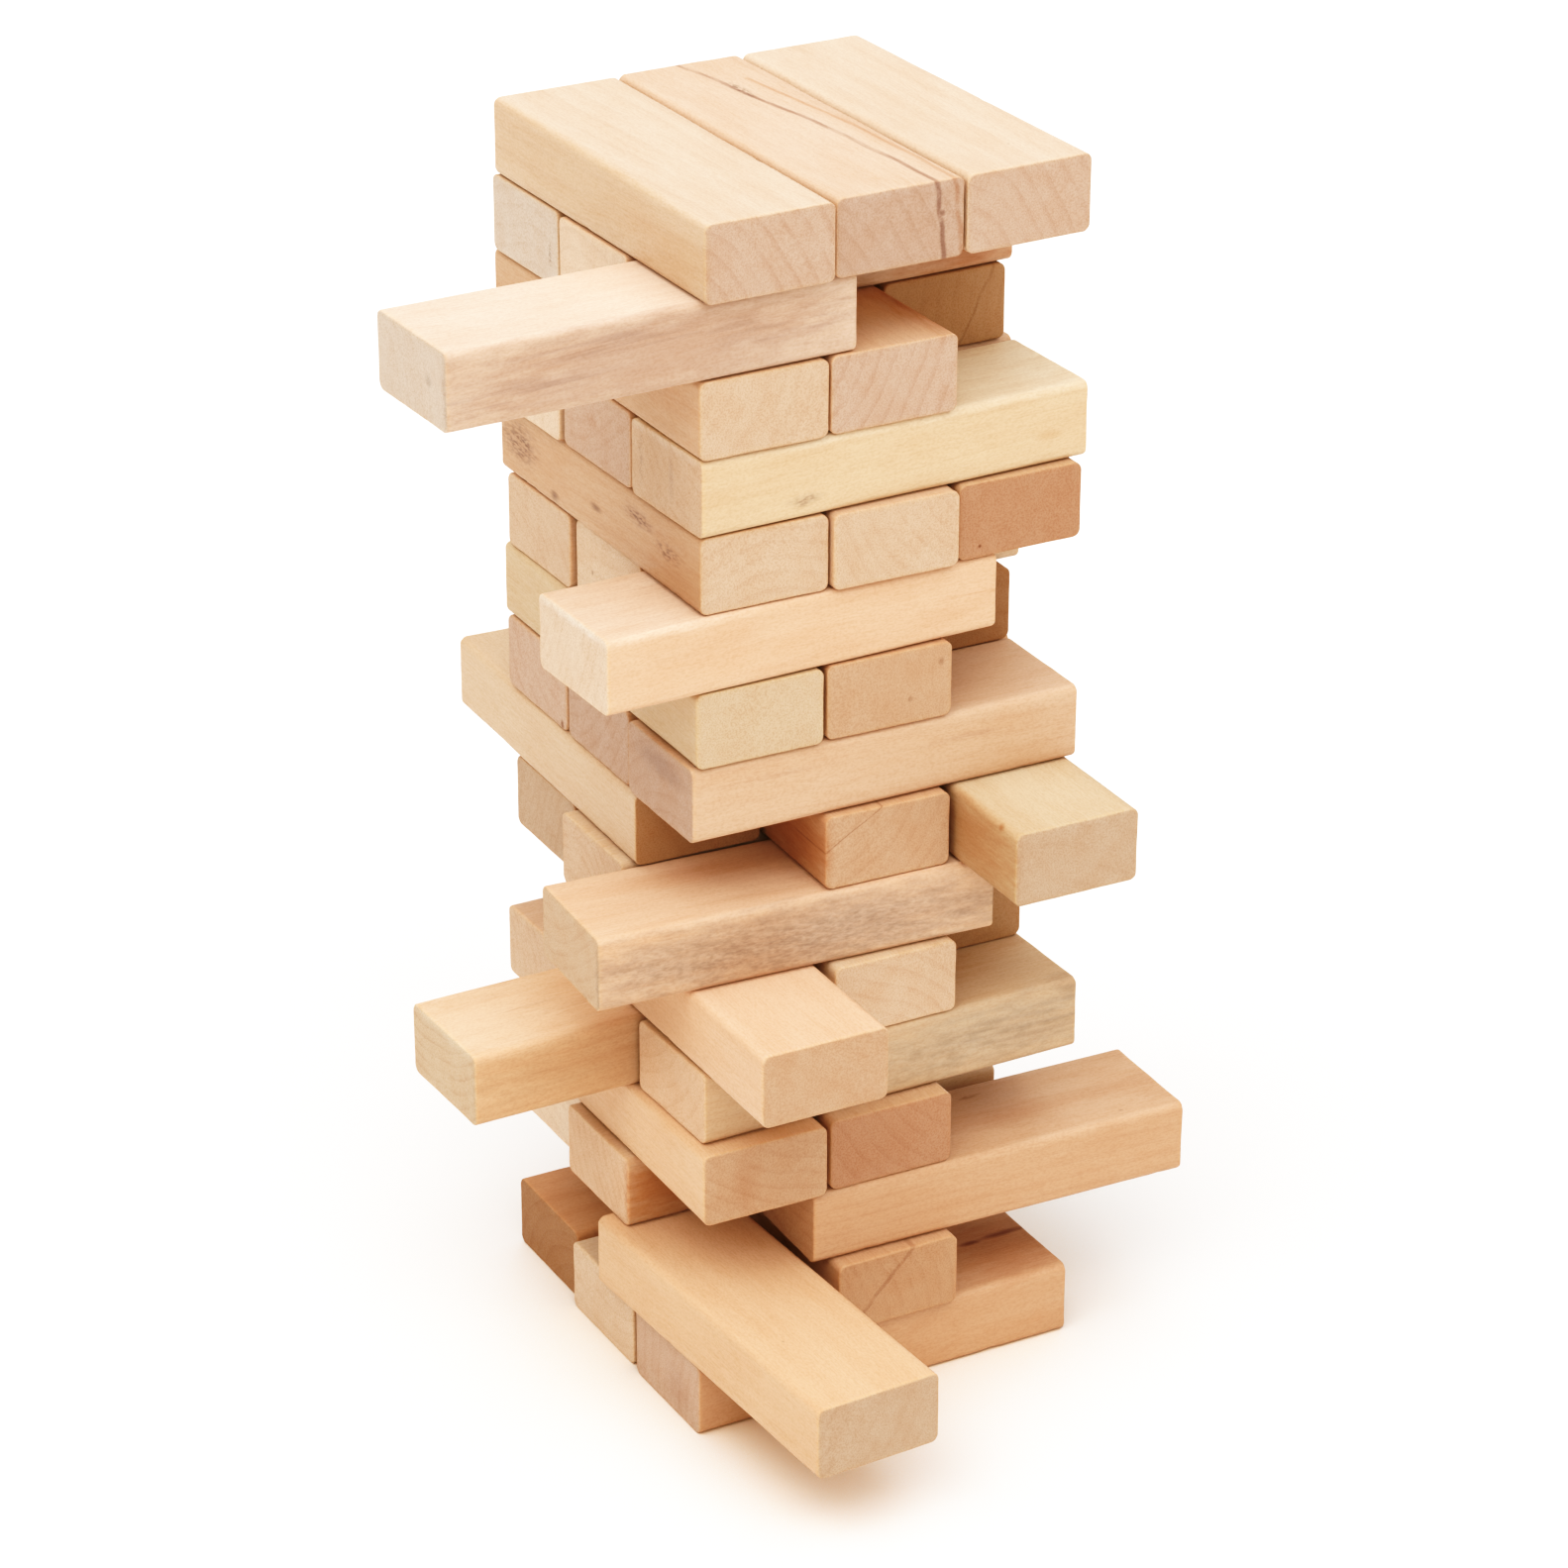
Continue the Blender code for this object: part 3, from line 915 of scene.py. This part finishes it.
def wood(name, look, seed):
    """The material of one block."""
    material = bpy.data.materials.new(name)
    material.use_nodes = True
    graph = Graph(material)
    rng = np.random.default_rng(seed)
    board = graph.attribute("board", "Vector")
    log = place_in_log(graph, board, look, rng)
    rings = ring_lines(graph, log, rng)
    colour, fibres, pores = wood_colour(graph, board, log, look, rings)

    sawn = graph.attribute("sawn")
    roughness = graph.span(fibres, *FIBRE_ROUGHNESS)
    roughness = graph.math("ADD", roughness, graph.math("MULTIPLY", sawn, SAWN_ROUGHNESS))
    height = graph.math("MULTIPLY", fibres, FIBRE_HEIGHT)
    height = graph.math("ADD", height, graph.math("MULTIPLY", rings, RING_HEIGHT))
    height = graph.math("SUBTRACT", height, graph.math("MULTIPLY", pores, PORE_DEPTH))
    relief = {"Height": height, "Strength": BUMP_STRENGTH, "Distance": BUMP_HEIGHT}
    bump = graph.node("Bump", relief)

    shader = material.node_tree.nodes["Principled BSDF"]
    shader.inputs["Specular IOR Level"].default_value = GLOSS
    links = material.node_tree.links
    links.new(colour, shader.inputs["Base Color"])
    links.new(roughness, shader.inputs["Roughness"])
    links.new(bump.outputs[0], shader.inputs["Normal"])
    return material


def add_block(node_name, node, body, seed):
    """The detailed block that stands for one CAD block."""
    name = "wood_" + node_name
    mesh = block_mesh(name, seed)
    block = bpy.data.objects.new(name, mesh)
    bpy.context.scene.collection.objects.link(block)
    block.matrix_world = block_frame(node)
    mesh.materials.append(wood(name, LOOKS[node_name], seed))
    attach(block, body)
    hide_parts(node_name)
    return block


def add_floor():
    """A wide white studio floor, a little warm where the tower keeps the light off it."""
    reach = FLOOR_REACH
    mesh = bpy.data.meshes.new("floor")
    corners = [(-reach, -reach, 0), (reach, -reach, 0), (reach, reach, 0), (-reach, reach, 0)]
    mesh.from_pydata(corners, [], [(0, 1, 2, 3)])
    floor = bpy.data.objects.new("floor", mesh)
    bpy.context.scene.collection.objects.link(floor)
    material = bpy.data.materials.new("floor")
    material.use_nodes = True
    shader = material.node_tree.nodes["Principled BSDF"]
    graph = Graph(material)
    open_sky = graph.node("AmbientOcclusion", {"Distance": SHADE_REACH}, samples=4).outputs["AO"]
    openness = graph.span(open_sky, *SHADE_SPAN)
    colour = graph.mix(openness, solid(FLOOR_SHADE), solid(FLOOR_COLOUR))
    material.node_tree.links.new(colour, shader.inputs["Base Color"])
    shader.inputs["Roughness"].default_value = FLOOR_ROUGHNESS
    shader.inputs["Specular IOR Level"].default_value = FLOOR_GLOSS
    mesh.materials.append(material)


def add_light(name, azimuth, elevation, power):
    """A wide soft light from far away."""
    lamp = bpy.data.lights.new(name, "SUN")
    lamp.angle = math.radians(LAMP_ANGLE)
    lamp.energy = power
    light = bpy.data.objects.new(name, lamp)
    bpy.context.scene.collection.objects.link(light)
    light.rotation_euler = towards(azimuth, elevation).to_track_quat("Z", "Y").to_euler()


def add_sky():
    """The light of the room: a white backdrop, dimmer walls above it and a bright ceiling."""
    world = bpy.data.worlds.new("studio")
    world.use_nodes = True
    nodes, links = world.node_tree.nodes, world.node_tree.links
    place = nodes.new("ShaderNodeTexCoord")
    split = nodes.new("ShaderNodeSeparateXYZ")
    room = nodes.new("ShaderNodeValToRGB")
    stops = room.color_ramp.elements
    while len(stops) < len(ROOM):
        stops.new(0.5)
    for stop, (height, light) in zip(stops, ROOM):
        stop.position = height
        stop.color = solid((light / CEILING_LIGHT,) * 3)
    background = nodes["Background"]
    background.inputs["Strength"].default_value = CEILING_LIGHT
    links.new(place.outputs["Generated"], split.inputs[0])
    links.new(split.outputs["Z"], room.inputs["Fac"])
    links.new(room.outputs["Color"], background.inputs["Color"])
    bpy.context.scene.world = world


def set_film():
    """The response of the film: deep shade, and highlights that run softly to white."""
    settings = bpy.context.scene.view_settings
    settings.view_transform = "Standard"
    settings.use_curve_mapping = True
    mapping = settings.curve_mapping
    mapping.white_level = (FILM_WHITE, FILM_WHITE, FILM_WHITE)
    for light, shown in FILM_CURVE:
        mapping.curves[3].points.new(light / FILM_WHITE, shown)
    for layer, points in ((1, FILM_GREEN), (2, FILM_BLUE)):
        for light, shown in points:
            mapping.curves[layer].points.new(light, shown)
    mapping.update()


def add_studio():
    add_floor()
    for lamp in LAMPS:
        add_light(*lamp)
    add_sky()
    set_film()


def towards(azimuth, elevation):
    """The direction to a light or camera, by its azimuth and elevation in degrees."""
    azimuth, elevation = math.radians(azimuth), math.radians(elevation)
    level = math.cos(elevation)
    return Vector((math.sin(azimuth) * level, -math.cos(azimuth) * level, math.sin(elevation)))


def add_camera():
    back = towards(CAMERA_AZIMUTH, CAMERA_ELEVATION)
    right = Vector((0, 0, 1)).cross(back).normalized()
    frame = Matrix((right, back.cross(right), back)).transposed().to_4x4()
    data = bpy.data.cameras.new("camera")
    data.lens = CAMERA_LENS
    data.sensor_width = 36.0
    camera = bpy.data.objects.new("camera", data)
    bpy.context.scene.collection.objects.link(camera)
    roll = Matrix.Rotation(math.radians(CAMERA_ROLL), 4, "Z")
    camera.matrix_world = Matrix.Translation(CAMERA_AIM + back * CAMERA_DISTANCE) @ frame @ roll
    bpy.context.scene.camera = camera


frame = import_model()
bodies = {node.name: node["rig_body"] for node in frame["nodes"].values()}
for seed, node_name in enumerate(sorted(frame["nodes"])):
    node = frame["nodes"][node_name]
    add_block(node_name, node, bodies[node_name], seed)
add_studio()
add_camera()
